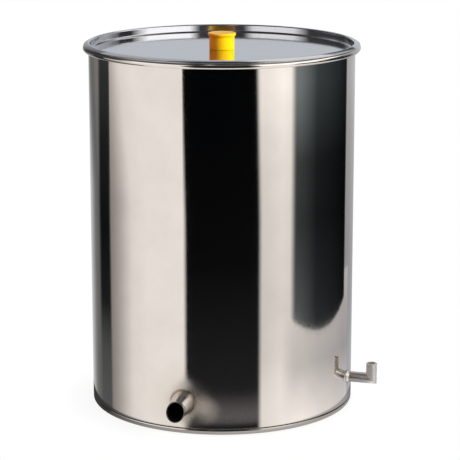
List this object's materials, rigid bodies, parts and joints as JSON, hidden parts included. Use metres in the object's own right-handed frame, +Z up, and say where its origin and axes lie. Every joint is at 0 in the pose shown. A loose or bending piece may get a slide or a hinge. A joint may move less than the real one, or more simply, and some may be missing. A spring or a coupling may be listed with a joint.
{
  "type": "steam wax melter",
  "caption": "Tall round double-walled tank with a recessed lift-off lid and yellow knob, a wax outlet pipe low on the front, an upturned water filler on the side and a lift-out sieve basket.",
  "frame": {"origin": "centre of the round base, on the surface that the tank stands on", "axes": "+Z up along the tank's axis; the wax outlet points along -Y and falls a little; the water filler leaves along +X"},
  "size_m": [0.4536, 0.4483, 0.5662],
  "materials": {
    "polished_stainless": "mirror-polished stainless sheet",
    "welded_tube": "polished stainless tube with weld tint",
    "inner_stainless": "satin stainless sheet",
    "handle_rod": "drawn stainless rod",
    "zinc_plated": "zinc-plated steel",
    "knob_brass": "machined brass",
    "knob_plastic": "moulded yellow plastic"
  },
  "bodies": {
    "tank": {"outer_shell": "polished_stainless", "rim_bead": "polished_stainless", "base_pan": "polished_stainless", "inner_vessel_wall": "inner_stainless", "inner_vessel_floor": "inner_stainless", "jacket_top_ring": "inner_stainless", "floor_supports": "inner_stainless", "outlet_inner_tube": "welded_tube", "wax_outlet_pipe": "welded_tube", "outlet_collar": "welded_tube", "filler_stub": "welded_tube", "filler_upright": "welded_tube", "filler_weld_collar": "welded_tube", "basket_rests": "inner_stainless"},
    "lid": {"lid_pan": "polished_stainless", "lid_knob": "knob_plastic", "knob_insert": "knob_brass", "knob_washer": "zinc_plated", "knob_screw": "zinc_plated"},
    "basket": {"basket_wall": "inner_stainless", "basket_floor": "inner_stainless", "basket_base_hoop": "inner_stainless", "basket_rim_hoop": "inner_stainless", "basket_ears": "inner_stainless"},
    "handle_left": {"basket_handle_left": "handle_rod"},
    "handle_right": {"basket_handle_right": "handle_rod"}
  },
  "joints": [
    {"name": "lid_lift", "type": "slide", "parent": "tank", "child": "lid", "axis": [0, 0, 1], "range_m": [0, 1]},
    {"name": "basket_lift", "type": "slide", "parent": "tank", "child": "basket", "axis": [0, 0, 1], "range_m": [0, 0.5]},
    {"name": "handle_left_swing", "type": "hinge", "parent": "basket", "child": "handle_left", "pos_m": [-0.14912, 0, 0.4528], "axis": [0, -1, 0], "range_deg": [0, 180]},
    {"name": "handle_right_swing", "type": "hinge", "parent": "basket", "child": "handle_right", "pos_m": [0.14912, 0, 0.4528], "axis": [0, 1, 0], "range_deg": [0, 180]}
  ],
  "couplings": [
    {"joint": "basket_lift", "follows": "lid_lift", "ratio": 0.5}
  ]
}
